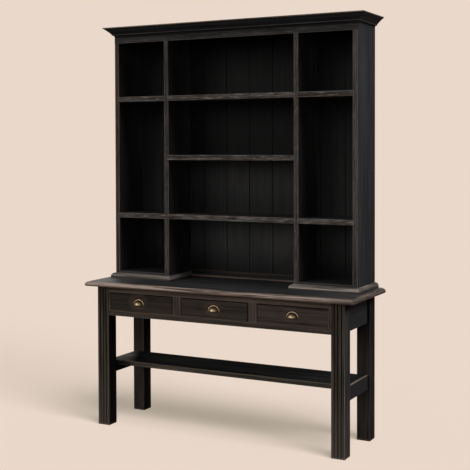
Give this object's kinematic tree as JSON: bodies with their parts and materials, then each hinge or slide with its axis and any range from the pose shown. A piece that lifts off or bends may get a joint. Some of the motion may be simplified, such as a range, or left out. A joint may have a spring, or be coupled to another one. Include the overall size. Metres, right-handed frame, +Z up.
{
  "type": "dresser with hutch",
  "caption": "Side table on fluted legs with a row of drawers and a lower shelf, and on its back half a tall hutch of open shelf bays under a moulded cornice.",
  "frame": {"origin": "on the floor under the middle of the table top", "axes": "+X to the right seen from the front, +Y to the back, +Z up"},
  "size_m": [1.572, 0.475, 2.2],
  "materials": {
    "painted_pine": "near-black paint, satin, worn to brown on its edges",
    "painted_top": "dark grey-blue paint, satin, lightly scuffed",
    "bare_pine": "bare planed pine, matt, darkened with age",
    "antique_brass": "aged brass, dark in its hollows",
    "steel": "plain steel"
  },
  "bodies": {
    "carcass": {"apron_back": "painted_pine", "apron_left": "painted_pine", "apron_right": "painted_pine", "back_boards": "painted_pine", "back_rail": "painted_pine", "base_moulding_back": "painted_pine", "base_moulding_left": "painted_pine", "base_moulding_right": "painted_pine", "cornice_front": "painted_pine", "cornice_left": "painted_pine", "cornice_right": "painted_pine", "divider_left": "painted_pine", "divider_right": "painted_pine", "drawer_kickers": "bare_pine", "drawer_runners": "bare_pine", "drawer_stops": "bare_pine", "floor_left": "painted_pine", "floor_right": "painted_pine", "frieze": "painted_pine", "front_rail_lower": "painted_pine", "front_rail_upper": "painted_pine", "front_stiles": "painted_pine", "hutch_screws": "steel", "hutch_side_left": "painted_pine", "hutch_side_right": "painted_pine", "hutch_top": "painted_pine", "leg_back_left": "painted_pine", "leg_back_right": "painted_pine", "leg_front_left": "painted_pine", "leg_front_right": "painted_pine", "lower_shelf": "painted_pine", "shelf_centre_lower": "painted_pine", "shelf_centre_middle": "painted_pine", "shelf_centre_upper": "painted_pine", "shelf_left_lower": "painted_pine", "shelf_left_upper": "painted_pine", "shelf_right_lower": "painted_pine", "shelf_right_upper": "painted_pine", "stretcher_left": "painted_pine", "stretcher_right": "painted_pine", "table_top": "painted_top"},
    "drawer_left": {"drawer_left_front": "painted_pine", "drawer_left_sides": "bare_pine", "drawer_left_back": "bare_pine", "drawer_left_bottom": "bare_pine", "drawer_left_pull": "antique_brass", "drawer_left_pull_screws": "antique_brass"},
    "drawer_middle": {"drawer_middle_front": "painted_pine", "drawer_middle_sides": "bare_pine", "drawer_middle_back": "bare_pine", "drawer_middle_bottom": "bare_pine", "drawer_middle_pull": "antique_brass", "drawer_middle_pull_screws": "antique_brass"},
    "drawer_right": {"drawer_right_front": "painted_pine", "drawer_right_sides": "bare_pine", "drawer_right_back": "bare_pine", "drawer_right_bottom": "bare_pine", "drawer_right_pull": "antique_brass", "drawer_right_pull_screws": "antique_brass"}
  },
  "joints": [
    {"name": "drawer_left_slide", "type": "slide", "parent": "carcass", "child": "drawer_left", "axis": [0, -1, 0], "range_m": [0, 0.25]},
    {"name": "drawer_middle_slide", "type": "slide", "parent": "carcass", "child": "drawer_middle", "axis": [0, -1, 0], "range_m": [0, 0.25]},
    {"name": "drawer_right_slide", "type": "slide", "parent": "carcass", "child": "drawer_right", "axis": [0, -1, 0], "range_m": [0, 0.25]}
  ]
}
